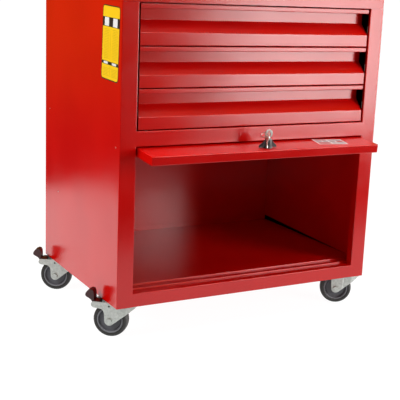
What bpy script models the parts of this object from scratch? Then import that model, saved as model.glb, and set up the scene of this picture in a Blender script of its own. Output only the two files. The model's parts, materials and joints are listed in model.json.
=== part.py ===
"""Rolling tool chest: a sheet-steel cabinet with three drawers over a compartment whose door slides in
above the shelf, on four swivel casters, the left two with brakes. Metres, +Z up, front towards -Y.

The cabinet is laid out in its own coordinates: x from the left side, y from the front plane, z from the
body's bottom edge. The chest empty moves that corner so that the world origin is on the floor, under the
middle of the whole chest's box.
"""

import math

import bmesh
import bpy
from mathutils import Matrix, Vector

MM = 0.001

# Body
WIDTH = 680 * MM
DEPTH = 470 * MM
SHEET = 1.0 * MM
GAP = 0.3 * MM  # between pieces that are welded, screwed or seated on each other
POST_WIDTH = 39 * MM
POST_RETURN = 20 * MM
REAR_FLANGE = 15 * MM
BOTTOM_RAIL_HEIGHT = 31.4 * MM
SILL_DEPTH = 25 * MM
SILL_STEP = 3.5 * MM
SILL_TREAD = 20 * MM
COMPARTMENT_TOP = 361.6 * MM  # underside of the cross rail
CROSS_RAIL_HEIGHT = 33.1 * MM
RAIL_RETURN = 20 * MM
TOP_CAP_HEIGHT = 34 * MM
TRAY_RIM = 18 * MM
TRAY_DEPTH = 12 * MM

# Drawers
DRAWERS = 3
DRAWER_FRONT_HEIGHT = 87 * MM
DRAWER_GAP = 2.4 * MM  # between fronts, and to the rails
FRONT_SIDE_GAP = 4 * MM
FRONT_RECESS = 2 * MM  # of drawer fronts and door behind the front plane
FRONT_FACE_HEIGHT = 27 * MM
LEDGE_RISE = 26 * MM
PULL_DEPTH = 24 * MM
LIP_HEIGHT = 10 * MM
SLIDE_THICKNESS = 12.5 * MM
SLIDE_HEIGHT = 36 * MM
SLIDE_SHEET = 1.5 * MM
SLIDE_PLAY = 0.4 * MM
INNER_SLIDE_LENGTH = DEPTH - 70 * MM
DRAWER_LENGTH = DEPTH - 58 * MM
DRAWER_WALL_HEIGHT = 66 * MM
DRAWER_FLOOR_ABOVE = 5 * MM  # tray floor above the lower edge of the front

# Door
DOOR_THICKNESS = 20 * MM
DOOR_SIDE_GAP = 3.5 * MM
DOOR_BOTTOM_GAP = 2 * MM
DOOR_TILT = math.radians(5.1)  # the door runs down towards the front
DOOR_STICKS_OUT = 72 * MM  # in front of the front plane, as stored
HINGE_TO_EDGE = 5.5 * MM
HINGE_HEIGHT_CLOSED = 349.4 * MM
ROD_RADIUS = 3.5 * MM
ROLLER_RADIUS = 0.4 * DOOR_THICKNESS
ROLLER_WIDTH = 11 * MM
TRACK_SHEET = 1.2 * MM

# Lock and keys
LOCK_FROM_EDGE = 24 * MM
KNOB_HALF_SPAN = 23 * MM
KNOB_HEIGHT = 21.5 * MM
KNOB_RADIUS = 9 * MM
CAM_REACH = 30 * MM  # ends behind the sill, just above the base pan
CAM_WIDTH = 12 * MM
CAM_SHEET = 2 * MM
KEY_SHEET = 2 * MM
KEY_BOW_RADIUS = 10 * MM
KEY_BOW_HEIGHT = 32.2 * MM  # centre of the bow above the door; its top passes under the lowest drawer
RING_RADIUS = 10 * MM
RING_WIRE = 0.7 * MM
KEY_HOLE_RADIUS = 2.6 * MM
SPARE_BOW_RADIUS = 7.5 * MM
SPARE_BOW_DROP = 4.4 * MM  # centre of its bow below its hole
SPARE_BLADE = 6.4 * MM
SPARE_LENGTH = 29 * MM
SPARE_SHEET = 1.8 * MM
SPARE_HOLE_RADIUS = 2 * MM

# Casters
WHEEL_RADIUS = 40 * MM
CASTER_HEIGHT = 2 * WHEEL_RADIUS + 28.2 * MM
CASTER_RECESS = 25 * MM  # top of the caster plate above the body's bottom edge
CASTER_INSET_X = 25.5 * MM
CASTER_INSET_Y = 54 * MM
CASTER_TRAIL = 13 * MM
TYRE_HALF_WIDTH = 14 * MM
HUB_RADIUS = 30.5 * MM
PLATE_SIZE = (46 * MM, 62 * MM)
PLATE_SHEET = 3 * MM
FORK_SHEET = 2.2 * MM
FORK_HALF_WIDTH = 19.7 * MM
FORK_NOSE = WHEEL_RADIUS + 5 * MM  # reach of the fork ahead of the swivel
FORK_CREASE = WHEEL_RADIUS - 15 * MM  # where it starts to close in to the nose
FORK_NOSE_HALF = 8 * MM
FORK_END_RADIUS = 11 * MM  # round the axle
FORK_SLANT = math.radians(39)  # of its leading lower edge
FORK_TOP = -0.4 * MM
TAIL_RADIUS = 7.2 * MM
TAIL_REACH = WHEEL_RADIUS - 4 * MM  # centre of the braked fork's round tails behind the axle
CUP_RADIUS = 20 * MM
AXLE_RADIUS = 4 * MM
RUNNING_GAP = 0.3 * MM
PEDAL_BARREL_RADIUS = 4 * MM
PEDAL_HALF = 11 * MM
# name, right side, rear, swivel angle, brake
CASTERS = (
    ("front_left", False, False, math.radians(50), True),
    ("rear_left", False, True, math.radians(57), True),
    ("front_right", True, False, math.radians(57), False),
    ("rear_right", True, True, math.radians(52), False),
)

# Worked out from the sizes above
OPENING_LEFT = POST_WIDTH
OPENING_RIGHT = WIDTH - POST_WIDTH
CROSS_RAIL_TOP = COMPARTMENT_TOP + CROSS_RAIL_HEIGHT
DRAWER_PITCH = DRAWER_FRONT_HEIGHT + DRAWER_GAP
CAP_BOTTOM = CROSS_RAIL_TOP + DRAWER_GAP + DRAWERS * DRAWER_PITCH
BODY_HEIGHT = CAP_BOTTOM + TOP_CAP_HEIGHT
FLOOR_TOP = BOTTOM_RAIL_HEIGHT + 2 * SILL_STEP
BACK_FACE = DEPTH - 2 * SHEET - GAP  # front surface of the back panel
GROUND = CASTER_RECESS - CASTER_HEIGHT
AXLE_Z = GROUND + WHEEL_RADIUS
PLATE_BOTTOM = CASTER_RECESS - PLATE_SHEET
TRAY_LEFT = OPENING_LEFT + GAP + SLIDE_THICKNESS + 3 * MM
FRONT_BACK_FACE = FRONT_RECESS + PULL_DEPTH + SHEET

DOOR_LENGTH_BELOW = HINGE_HEIGHT_CLOSED - BOTTOM_RAIL_HEIGHT - DOOR_BOTTOM_GAP
HINGE_Y_CLOSED = FRONT_RECESS + DOOR_THICKNESS / 2
CORNER_REACH = DOOR_LENGTH_BELOW * math.cos(DOOR_TILT) + DOOR_THICKNESS / 2 * math.sin(DOOR_TILT)
HINGE_Y = CORNER_REACH - DOOR_STICKS_OUT
DOOR_TRAVEL = (HINGE_Y - HINGE_Y_CLOSED) / math.cos(DOOR_TILT)
HINGE_Z = HINGE_HEIGHT_CLOSED + DOOR_TRAVEL * math.sin(DOOR_TILT)

# name: colour, roughness, metallic
FINISHES = {
    "red_paint": ((0.55, 0.012, 0.008, 1), 0.32, 0.0),
    "zinc": ((0.55, 0.57, 0.56, 1), 0.38, 0.9),
    "nickel": ((0.62, 0.61, 0.58, 1), 0.25, 1.0),
    "black_plastic": ((0.02, 0.02, 0.022, 1), 0.4, 0.0),
    "white_nylon": ((0.7, 0.7, 0.66, 1), 0.5, 0.0),
    "grey_plastic": ((0.1, 0.1, 0.115, 1), 0.45, 0.0),
    "tyre_rubber": ((0.03, 0.03, 0.032, 1), 0.6, 0.0),
    "brake_plastic": ((0.05, 0.008, 0.01, 1), 0.4, 0.0),
}


def clear_scene():
    for obj in list(bpy.data.objects):
        bpy.data.objects.remove(obj)


def finish(name):
    """The material of that name, made on first use."""
    material = bpy.data.materials.get(name)
    if material:
        return material
    material = bpy.data.materials.new(name)
    material.use_nodes = True
    colour, roughness, metallic = FINISHES[name]
    shader = material.node_tree.nodes["Principled BSDF"]
    shader.inputs["Base Color"].default_value = colour
    shader.inputs["Roughness"].default_value = roughness
    shader.inputs["Metallic"].default_value = metallic
    material.diffuse_color = colour
    return material


def empty(name, parent=None, location=(0, 0, 0), rotation=(0, 0, 0)):
    obj = bpy.data.objects.new(name, None)
    bpy.context.scene.collection.objects.link(obj)
    obj.parent = parent
    obj.location = location
    obj.rotation_euler = rotation
    return obj


def add_object(name, mesh_builder, material, parent, smooth=False):
    """Turns a bmesh into a named object under its parent."""
    bmesh.ops.recalc_face_normals(mesh_builder, faces=mesh_builder.faces)
    mesh = bpy.data.meshes.new(name)
    mesh_builder.to_mesh(mesh)
    mesh_builder.free()
    mesh.materials.append(finish(material))
    if smooth:
        mesh.shade_smooth()
        mesh.set_sharp_from_angle(angle=math.radians(35))
    obj = bpy.data.objects.new(name, mesh)
    bpy.context.scene.collection.objects.link(obj)
    obj.parent = parent
    return obj


def prism(outline, axis, low, high):
    """A closed outline of 2-D points, extruded along an axis. The points are (y, z), (x, z) or (x, y)."""
    place = {
        "X": lambda a, b, c: (c, a, b),
        "Y": lambda a, b, c: (a, c, b),
        "Z": lambda a, b, c: (a, b, c),
    }[axis]
    shape = bmesh.new()
    near = [shape.verts.new(place(a, b, low)) for a, b in outline]
    cap = shape.faces.new(near)
    moved = bmesh.ops.extrude_face_region(shape, geom=[cap])["geom"]
    step = Vector(place(0, 0, high - low))
    bmesh.ops.translate(shape, verts=[v for v in moved if isinstance(v, bmesh.types.BMVert)], vec=step)
    return shape


def block(low, high):
    """An axis-aligned box between two corners."""
    outline = [(low[0], low[1]), (high[0], low[1]), (high[0], high[1]), (low[0], high[1])]
    return prism(outline, "Z", low[2], high[2])


def folded(points, thickness):
    """The closed outline of a bent sheet: the given surface line, and the same line moved to its left."""
    line = [Vector(p) for p in points]
    normals = []
    for start, end in zip(line, line[1:]):
        along = (end - start).normalized()
        normals.append(Vector((-along.y, along.x)))
    inner = [line[0] + normals[0] * thickness]
    for point, before, after in zip(line[1:], normals, normals[1:]):
        inner.append(point + (before + after) * (thickness / (1 + before.dot(after))))
    inner.append(line[-1] + normals[-1] * thickness)
    return [tuple(p) for p in line + inner[::-1]]


def nested_rectangles(low, high, loops):
    """A solid of bridged rectangles, each (inset, z) from the rectangle low-high, with both ends capped."""
    shape = bmesh.new()
    rings = []
    for inset, z in loops:
        x0, y0, x1, y1 = low[0] + inset, low[1] + inset, high[0] - inset, high[1] - inset
        rings.append([shape.verts.new((x, y, z)) for x, y in ((x0, y0), (x1, y0), (x1, y1), (x0, y1))])
    for ring, following in zip(rings, rings[1:]):
        for i in range(4):
            j = (i + 1) % 4
            shape.faces.new((ring[i], ring[j], following[j], following[i]))
    shape.faces.new(rings[0])
    shape.faces.new(rings[-1])
    return shape


def turned(profile, steps, axis="Z", closed=True):
    """A profile of (radius, height) points, spun about an axis through the origin."""
    shape = bmesh.new()
    points = [shape.verts.new((r, 0, h)) for r, h in profile]
    pairs = list(zip(points, points[1:] + points[:1])) if closed else list(zip(points, points[1:]))
    edges = [shape.edges.new(pair) for pair in pairs]
    bmesh.ops.spin(
        shape, geom=points + edges, axis=(0, 0, 1), cent=(0, 0, 0), dvec=(0, 0, 0),
        angle=2 * math.pi, steps=steps, use_duplicate=False,
    )
    bmesh.ops.remove_doubles(shape, verts=shape.verts, dist=1e-6)
    if axis == "X":
        lay_down = Matrix.Rotation(math.pi / 2, 3, "Y")
        bmesh.ops.rotate(shape, verts=shape.verts, cent=(0, 0, 0), matrix=lay_down)
    return shape


def rod(radius, low, high, steps, axis="Z", centre=(0, 0, 0)):
    """A round bar along an axis, between two places on it."""
    shape = turned([(0, low), (radius, low), (radius, high), (0, high)], steps, axis, closed=False)
    bmesh.ops.translate(shape, verts=shape.verts, vec=centre)
    return shape


def arc(centre, radius, start, end, steps):
    """Points along an arc, angles in degrees."""
    angles = [math.radians(start + (end - start) * i / steps) for i in range(steps + 1)]
    return [(centre[0] + radius * math.cos(a), centre[1] + radius * math.sin(a)) for a in angles]


def combine(obj, tool_shape, operation):
    """Adds a Boolean with a hidden tool that shares the object's parent."""
    tool = add_object(f"{obj.name}_tool_{len(obj.modifiers)}", tool_shape, "zinc", obj.parent)
    tool.hide_render = True
    tool.display_type = "WIRE"
    modifier = obj.modifiers.new(operation.lower(), "BOOLEAN")
    modifier.operation = operation
    modifier.object = tool
    return obj


def mirrored(points):
    """Plan points mirrored to the right side of the cabinet, in the order that keeps the sheet inside."""
    return [(WIDTH - x, y) for x, y in points][::-1]


def build_side_panels(body):
    """Each side is one bent sheet: rear flange, side, front post and the post's return."""
    plan = [
        (REAR_FLANGE, DEPTH), (0, DEPTH), (0, 0),
        (POST_WIDTH, 0), (POST_WIDTH, POST_RETURN),
    ]
    notch_low = HINGE_HEIGHT_CLOSED - ROD_RADIUS - 2 * MM
    notch_high = HINGE_HEIGHT_CLOSED + ROD_RADIUS + 3 * MM
    notch_front = HINGE_Y_CLOSED - ROD_RADIUS - 1 * MM
    for side, points, flange in (
        ("left", plan, POST_WIDTH - SHEET / 2),
        ("right", mirrored(plan), WIDTH - POST_WIDTH + SHEET / 2),
    ):
        shape = prism(folded(points, SHEET), "Z", 0, CAP_BOTTOM - GAP)
        panel = add_object(f"side_panel_{side}", shape, "red_paint", body)
        low = (flange - SHEET, notch_front, notch_low)
        high = (flange + SHEET, POST_RETURN + SHEET, notch_high)
        combine(panel, block(low, high), "DIFFERENCE")


def build_shell(body):
    """Back, top cap, rails, shelf floor, divider and the base pan that carries the casters."""
    inner_left = SHEET + GAP
    inner_right = WIDTH - inner_left
    low = (inner_left, BACK_FACE, 0)
    high = (inner_right, BACK_FACE + SHEET, CAP_BOTTOM - GAP)
    add_object("back_panel", block(low, high), "red_paint", body)

    tray_floor = BODY_HEIGHT - TRAY_DEPTH
    loops = [
        (TRAY_RIM, tray_floor), (TRAY_RIM, BODY_HEIGHT), (0, BODY_HEIGHT), (0, CAP_BOTTOM),
        (SHEET, CAP_BOTTOM), (SHEET, BODY_HEIGHT - SHEET), (TRAY_RIM - SHEET, BODY_HEIGHT - SHEET),
        (TRAY_RIM - SHEET, tray_floor - SHEET),
    ]
    add_object("top_cap", nested_rectangles((0, 0), (WIDTH, DEPTH), loops), "red_paint", body)

    rail_left = OPENING_LEFT + GAP
    rail_right = OPENING_RIGHT - GAP
    sill = [(RAIL_RETURN, 0), (0, 0), (0, BOTTOM_RAIL_HEIGHT), (SILL_DEPTH, BOTTOM_RAIL_HEIGHT)]
    shape = prism(folded(sill[::-1], SHEET), "X", rail_left, rail_right)
    rail = add_object("bottom_rail", shape, "red_paint", body)
    strike_half = CAM_WIDTH / 2 + 2 * MM
    cam_front = HINGE_Y_CLOSED + DOOR_THICKNESS / 2
    low = (WIDTH / 2 - strike_half, cam_front - 0.7 * MM, BOTTOM_RAIL_HEIGHT - 2 * SHEET)
    high = (WIDTH / 2 + strike_half, SILL_DEPTH + SHEET, BOTTOM_RAIL_HEIGHT + SHEET)
    combine(rail, block(low, high), "DIFFERENCE")

    cross = [
        (RAIL_RETURN, CROSS_RAIL_TOP), (0, CROSS_RAIL_TOP),
        (0, COMPARTMENT_TOP), (RAIL_RETURN, COMPARTMENT_TOP),
    ]
    shape = prism(folded(cross, SHEET), "X", rail_left, rail_right)
    add_object("cross_rail", shape, "red_paint", body)

    first_riser = SILL_DEPTH + GAP
    second_riser = first_riser + SILL_TREAD
    floor_back = BACK_FACE - GAP - SHEET
    floor_line = [
        (first_riser, BOTTOM_RAIL_HEIGHT - 4 * MM), (first_riser, FLOOR_TOP - SILL_STEP),
        (second_riser, FLOOR_TOP - SILL_STEP), (second_riser, FLOOR_TOP),
        (floor_back, FLOOR_TOP), (floor_back, FLOOR_TOP + 12 * MM),
    ]
    shape = prism(folded(floor_line, -SHEET), "X", inner_left, inner_right)
    add_object("shelf_floor", shape, "red_paint", body)

    divider = [
        (BACK_FACE - GAP, CROSS_RAIL_TOP - 14 * MM), (BACK_FACE - GAP, CROSS_RAIL_TOP),
        (RAIL_RETURN + GAP, CROSS_RAIL_TOP),
    ]
    shape = prism(folded(divider, SHEET), "X", inner_left, inner_right)
    add_object("divider_panel", shape, "red_paint", body)

    pan_sheet = 1.5 * MM
    pan_bottom = CASTER_RECESS + GAP
    pan = [
        (POST_RETURN + GAP, pan_bottom), (BACK_FACE - GAP, pan_bottom),
        (BACK_FACE - GAP, FLOOR_TOP - SHEET - GAP),
    ]
    shape = prism(folded(pan, pan_sheet), "X", inner_left, inner_right)
    add_object("base_pan", shape, "red_paint", body)


def build_slide(name, side, member, parent, bottom, start, length):
    """One member of a drawer slide, as a channel whose flanges point at the other member."""
    half = SLIDE_HEIGHT / 2
    middle = bottom + 40 * MM
    if member == "outer":
        web = OPENING_LEFT + GAP
        tip = web + SLIDE_THICKNESS
        turn = 1
    else:
        half -= SLIDE_SHEET + SLIDE_PLAY
        web = TRAY_LEFT - GAP
        tip = OPENING_LEFT + GAP + SLIDE_SHEET + 1 * MM
        turn = -1
    line = [(tip, middle + half), (web, middle + half), (web, middle - half), (tip, middle - half)]
    outline = folded(line, SLIDE_SHEET * turn)
    if side == "right":
        outline = [(WIDTH - x, z) for x, z in outline]
    obj = add_object(name, prism(outline, "Y", start, start + length), "zinc", parent)
    if member == "outer":
        x0, x1 = web, web + SLIDE_SHEET
        if side == "right":
            x0, x1 = WIDTH - x1, WIDTH - x0
        low = (x0, POST_RETURN - 14 * MM, middle - 8 * MM)
        combine(obj, block(low, (x1, start + 5 * MM, middle + 8 * MM)), "UNION")
    return obj


def drawer_front_outline(bottom):
    """Side view of the front: face, sloping ledge, finger recess and lip, from one sheet."""
    face = FRONT_RECESS
    back = FRONT_RECESS + PULL_DEPTH
    top = bottom + DRAWER_FRONT_HEIGHT
    ledge = bottom + FRONT_FACE_HEIGHT
    line = [
        (back, bottom), (face, bottom), (face, ledge), (back, ledge + LEDGE_RISE),
        (back, top - LIP_HEIGHT), (face, top - LIP_HEIGHT), (face, top), (back, top),
    ]
    return folded(line[::-1], SHEET)


def build_drawers(body):
    start = FRONT_BACK_FACE + 1.5 * MM
    outer_length = BACK_FACE - GAP - start
    for index in range(DRAWERS):
        number = DRAWERS - index  # drawer_1 is the top one
        bottom = CROSS_RAIL_TOP + DRAWER_GAP + index * DRAWER_PITCH
        drawer = empty(f"drawer_{number}_runner", body)
        shape = prism(
            drawer_front_outline(bottom), "X",
            OPENING_LEFT + FRONT_SIDE_GAP, OPENING_RIGHT - FRONT_SIDE_GAP,
        )
        add_object(f"drawer_{number}_front", shape, "red_paint", drawer)
        floor = bottom + DRAWER_FLOOR_ABOVE
        rim = floor + DRAWER_WALL_HEIGHT
        loops = [(0, floor), (0, rim), (SHEET, rim), (SHEET, floor + SHEET)]
        tray_front = FRONT_BACK_FACE + GAP
        shape = nested_rectangles(
            (TRAY_LEFT, tray_front), (WIDTH - TRAY_LEFT, tray_front + DRAWER_LENGTH), loops
        )
        add_object(f"drawer_{number}_tray", shape, "red_paint", drawer)
        slide = f"drawer_{number}_slide"
        for side in ("left", "right"):
            build_slide(f"{slide}_outer_{side}", side, "outer", body, bottom, start, outer_length)
            build_slide(f"{slide}_inner_{side}", side, "inner", drawer, bottom, start, INNER_SLIDE_LENGTH)


def build_tracks(body):
    """Channels on the side panels, in which the door's hinge rollers run down to the front."""
    tilted = empty("track_line", body, (0, HINGE_Y, HINGE_Z), (DOOR_TILT, 0, 0))
    inside = ROLLER_RADIUS + RUNNING_GAP
    front = -DOOR_TRAVEL - ROLLER_RADIUS - 1 * MM
    web = SHEET + GAP
    tip = POST_WIDTH - SHEET - GAP
    outside = inside + TRACK_SHEET
    line = [(tip, -outside), (web, -outside), (web, outside), (tip, outside)]
    outline = folded(line[::-1], TRACK_SHEET)
    for side, points in (("left", outline), ("right", [(WIDTH - x, z) for x, z in outline])):
        shape = prism(points, "Y", front, ROLLER_RADIUS + 30 * MM)
        add_object(f"door_track_{side}", shape, "zinc", tilted)


def build_door(body):
    """The carriage (rod and rollers), the folded door pan on it, and the lock."""
    carriage = empty("door_carriage_axis", body, (0, HINGE_Y, HINGE_Z), (DOOR_TILT, 0, 0))
    roller_left = POST_WIDTH - SHEET - 3 * MM - ROLLER_WIDTH
    rod_end = roller_left - 2 * MM
    add_object(
        "door_hinge_rod", rod(ROD_RADIUS, rod_end, WIDTH - rod_end, 16, "X"), "zinc", carriage, smooth=True
    )
    bore = ROD_RADIUS + RUNNING_GAP / 2
    for side, low in (("left", roller_left), ("right", WIDTH - roller_left - ROLLER_WIDTH)):
        high = low + ROLLER_WIDTH
        profile = [(bore, low), (ROLLER_RADIUS, low), (ROLLER_RADIUS, high), (bore, high)]
        add_object(f"door_roller_{side}", turned(profile, 20, "X"), "white_nylon", carriage, smooth=True)

    door = empty("door_hinge_axis", carriage)
    half = DOOR_THICKNESS / 2
    left = OPENING_LEFT + DOOR_SIDE_GAP
    loops = [(0, half), (0, -half), (SHEET, -half), (SHEET, half - SHEET)]
    shape = nested_rectangles((left, -DOOR_LENGTH_BELOW), (WIDTH - left, HINGE_TO_EDGE), loops)
    panel = add_object("door_panel", shape, "red_paint", door)
    combine(panel, rod(ROD_RADIUS + RUNNING_GAP, 0, WIDTH, 16, "X"), "DIFFERENCE")
    build_lock(door, panel, half)


def build_lock(door, panel, half):
    """Winged knob, its key and the cam behind it turn together. A ring on the key carries the spare."""
    lock_y = LOCK_FROM_EDGE - DOOR_LENGTH_BELOW
    lock = empty("lock_axis", door, (WIDTH / 2, lock_y, half))
    barrel = 7 * MM
    hole = rod(barrel + RUNNING_GAP, -2 * SHEET, SHEET, 20)
    bmesh.ops.translate(hole, verts=hole.verts, vec=lock.location)
    combine(panel, hole, "DIFFERENCE")

    cam_top = -DOOR_THICKNESS - GAP
    neck = 4 * MM
    profile = [
        (0, cam_top + GAP), (neck, cam_top + GAP), (neck, -12 * MM), (barrel, -12 * MM),
        (barrel, RUNNING_GAP), (KNOB_RADIUS + 2 * MM, RUNNING_GAP), (KNOB_RADIUS + 2 * MM, 2.5 * MM),
        (KNOB_RADIUS, 4 * MM), (KNOB_RADIUS * 0.85, KNOB_HEIGHT * 0.7), (KNOB_RADIUS * 0.7, KNOB_HEIGHT),
        (0, KNOB_HEIGHT),
    ]
    knob = add_object("lock_knob", turned(profile, 24, closed=False), "black_plastic", lock, smooth=True)
    wing = [
        (-KNOB_HALF_SPAN, 3 * MM), (KNOB_HALF_SPAN, 3 * MM), (KNOB_HALF_SPAN * 0.9, 9 * MM),
        (KNOB_RADIUS * 0.7, KNOB_HEIGHT - 1 * MM), (-KNOB_RADIUS * 0.7, KNOB_HEIGHT - 1 * MM),
        (-KNOB_HALF_SPAN * 0.9, 9 * MM),
    ]
    combine(knob, prism(wing, "Y", -2.5 * MM, 2.5 * MM), "UNION")
    slot_depth = 8 * MM
    slot = (4 * MM, KEY_SHEET / 2 + GAP)
    low = (-slot[0] - GAP, -slot[1], KNOB_HEIGHT - slot_depth)
    combine(knob, block(low, (slot[0] + GAP, slot[1], KNOB_HEIGHT + MM)), "DIFFERENCE")

    cam = [
        (-CAM_WIDTH / 2, -CAM_WIDTH / 2), (CAM_REACH, -CAM_WIDTH / 2),
        (CAM_REACH, CAM_WIDTH / 2), (-CAM_WIDTH / 2, CAM_WIDTH / 2),
    ]
    add_object("lock_cam", prism(cam, "Z", cam_top - CAM_SHEET, cam_top), "zinc", lock)

    bow = (0, KEY_BOW_HEIGHT)
    blade = slot[0]
    shoulder = KEY_BOW_HEIGHT - KEY_BOW_RADIUS * 0.9
    tip = KNOB_HEIGHT - slot_depth + GAP
    outline = [(-blade, tip), (blade, tip), (blade, shoulder)]
    outline += arc(bow, KEY_BOW_RADIUS, -60, 240, 20) + [(-blade, shoulder)]
    half_key = KEY_SHEET / 2
    key = add_object("door_key", prism(outline, "Y", -half_key, half_key), "nickel", lock)
    hole_z = KEY_BOW_HEIGHT + KEY_BOW_RADIUS - KEY_HOLE_RADIUS - 2.4 * MM
    hole = rod(KEY_HOLE_RADIUS, -2 * KEY_SHEET, 2 * KEY_SHEET, 14)
    turn = Matrix.Translation((0, 0, hole_z)) @ Matrix.Rotation(math.pi / 2, 4, "X")
    bmesh.ops.transform(hole, verts=hole.verts, matrix=turn)
    combine(key, hole, "DIFFERENCE")
    build_spare_key(lock, hole_z)


def build_spare_key(lock, hole_z):
    """The ring passes through the key's hole and round its bow; the spare hangs from the ring's front."""
    lean = math.radians(212)  # direction in the key's plane from its hole to the middle of the ring
    hang = RING_RADIUS + KEY_HOLE_RADIUS - RING_WIRE - GAP
    middle = Vector((hang * math.cos(lean), 0, hole_z + hang * math.sin(lean)))
    hanger = empty("spare_key_axis", lock, middle + Vector((0, -RING_RADIUS, 0)), (-DOOR_TILT, 0, 0))
    ring = turned(arc((RING_RADIUS, 0), RING_WIRE, 0, 315, 7), 32)
    # The ring's plane holds the Y axis and the lean direction.
    place = Matrix.Translation(middle) @ Matrix.Rotation(-lean, 4, "Y")
    bmesh.ops.transform(ring, verts=ring.verts, matrix=place)
    add_object("key_ring", ring, "nickel", lock, smooth=True)

    outline = arc((0, -SPARE_BOW_DROP), SPARE_BOW_RADIUS, -60, 240, 18)
    shoulder = -SPARE_BOW_DROP - SPARE_BOW_RADIUS
    bevel = 3 * MM - SPARE_LENGTH
    blade = SPARE_BLADE / 2
    outline += [(-blade, shoulder), (-blade, bevel), (0, -SPARE_LENGTH), (blade, bevel), (blade, shoulder)]
    half = SPARE_SHEET / 2
    spare = add_object("spare_key", prism(outline, "X", -half, half), "nickel", hanger)
    combine(spare, rod(SPARE_HOLE_RADIUS, -2 * half, 2 * half, 12, "X"), "DIFFERENCE")


def fork_side_view(brake):
    """Outline of the fork in side view, (y, z) with y towards the trailing side."""
    end = arc((CASTER_TRAIL, AXLE_Z), FORK_END_RADIUS, 270 - math.degrees(FORK_SLANT), 360, 6)
    lead = -FORK_NOSE - 1 * MM
    rise = (end[0][0] - lead) * math.tan(FORK_SLANT)
    leg = CASTER_TRAIL + FORK_END_RADIUS + 1 * MM
    outline = [(lead, FORK_TOP), (lead, end[0][1] + rise)] + end + [(leg, AXLE_Z + 12 * MM)]
    if brake:
        outline += [(leg + 4 * MM, -22 * MM), (leg + 12 * MM, -15.5 * MM)]
        outline += arc((CASTER_TRAIL + TAIL_REACH, FORK_TOP - TAIL_RADIUS), TAIL_RADIUS, -90, 90, 6)
    else:
        outline += [(leg, FORK_TOP)]
    return outline


def fork_plan(brake):
    """Outer line of the fork seen from above: two side plates that close in to a nose ahead."""
    tail = CASTER_TRAIL + (TAIL_REACH + TAIL_RADIUS + 2 * MM if brake else FORK_END_RADIUS + 3 * MM)
    half = FORK_HALF_WIDTH
    beside_tyre = TYRE_HALF_WIDTH + FORK_SHEET + 3 * RUNNING_GAP
    left = [(-half, tail), (-half, -5 * MM), (-beside_tyre, -FORK_CREASE), (-FORK_NOSE_HALF, -FORK_NOSE)]
    return left + [(-x, y) for x, y in left[::-1]]


def build_fork(name, swivel, brake):
    plan = fork_plan(brake)
    shape = prism(folded(plan, FORK_SHEET), "Z", AXLE_Z - 2 * FORK_END_RADIUS, FORK_TOP)
    fork = add_object(name, shape, "zinc", swivel, smooth=True)
    side = fork_side_view(brake)
    combine(fork, prism(side, "X", -2 * FORK_HALF_WIDTH, 2 * FORK_HALF_WIDTH), "INTERSECT")
    crown_tail = CASTER_TRAIL + 12 * MM
    crown = [(x * 0.97, min(y, crown_tail)) for x, y in plan]
    crown = [(x, y + 0.5 * MM if y < -CUP_RADIUS else y) for x, y in crown]
    combine(fork, prism(crown, "Z", -2.6 * MM, -0.6 * MM), "UNION")
    cup = [
        (0, -2 * MM), (CUP_RADIUS - 2 * MM, -2 * MM), (CUP_RADIUS, 4 * MM),
        (CUP_RADIUS, PLATE_BOTTOM - 6 * MM), (CUP_RADIUS - 3 * MM, PLATE_BOTTOM - GAP),
        (0, PLATE_BOTTOM - GAP),
    ]
    combine(fork, turned(cup, 28, closed=False), "UNION")
    through = 2 * FORK_HALF_WIDTH
    axle_hole = rod(AXLE_RADIUS + 0.1 * MM, -through, through, 16, "X", (0, CASTER_TRAIL, AXLE_Z))
    return combine(fork, axle_hole, "DIFFERENCE")


def build_brake_pedal(name, swivel):
    """The pedal pivots between the fork's rear lobes, and rises outside the cabinet's side."""
    pivot = (0, CASTER_TRAIL + TAIL_REACH - 5 * MM, FORK_TOP - TAIL_RADIUS + 0.6 * MM)
    hinge = empty(f"{name}_axis", swivel, pivot)
    under = [(-5.5, -3), (9, -2), (15, 6.5), (21, 10.5), (27, 13.5)]
    tread = [(29.5, 17), (27.5, 23), (23, 28.5), (17, 31.5)]
    back = [(11, 30.5), (8.3, 24), (7.5, 6), (-5.5, 5.5)]
    outline = [(y * MM, z * MM) for y, z in under + tread + back]
    pedal = add_object(name, prism(outline, "X", -PEDAL_HALF, PEDAL_HALF), "brake_plastic", hinge)
    reach = FORK_HALF_WIDTH - FORK_SHEET - RUNNING_GAP
    return combine(pedal, rod(PEDAL_BARREL_RADIUS, -reach, reach, 20, "X"), "UNION")


def build_wheel(name, swivel):
    wheel = empty(f"wheel_{name}_axis", swivel, (0, CASTER_TRAIL, AXLE_Z))
    boss = FORK_HALF_WIDTH - FORK_SHEET - RUNNING_GAP
    lip = TYRE_HALF_WIDTH - 0.5 * MM
    bore = AXLE_RADIUS + RUNNING_GAP / 2
    half_hub = [
        (bore, boss), (9 * MM, boss), (10 * MM, 8 * MM), (HUB_RADIUS - 5 * MM, 8 * MM),
        (HUB_RADIUS - 3 * MM, lip), (HUB_RADIUS, lip),
    ]
    profile = half_hub + [(r, -h) for r, h in half_hub[::-1]]
    add_object(f"wheel_hub_{name}", turned(profile, 28, "X"), "grey_plastic", wheel, smooth=True)
    seat = HUB_RADIUS + 0.15 * MM
    half_tyre = [
        (seat, TYRE_HALF_WIDTH - 1 * MM), (WHEEL_RADIUS - 5 * MM, TYRE_HALF_WIDTH),
        (WHEEL_RADIUS - 1.6 * MM, TYRE_HALF_WIDTH - 2 * MM), (WHEEL_RADIUS, TYRE_HALF_WIDTH - 6 * MM),
    ]
    profile = half_tyre + [(r, -h) for r, h in half_tyre[::-1]]
    tyre = turned(profile, 36, "X")
    bmesh.ops.rotate(
        tyre, verts=tyre.verts, cent=(0, 0, 0), matrix=Matrix.Rotation(math.radians(5), 3, "X")
    )
    add_object(f"tyre_{name}", tyre, "tyre_rubber", wheel, smooth=True)


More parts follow.
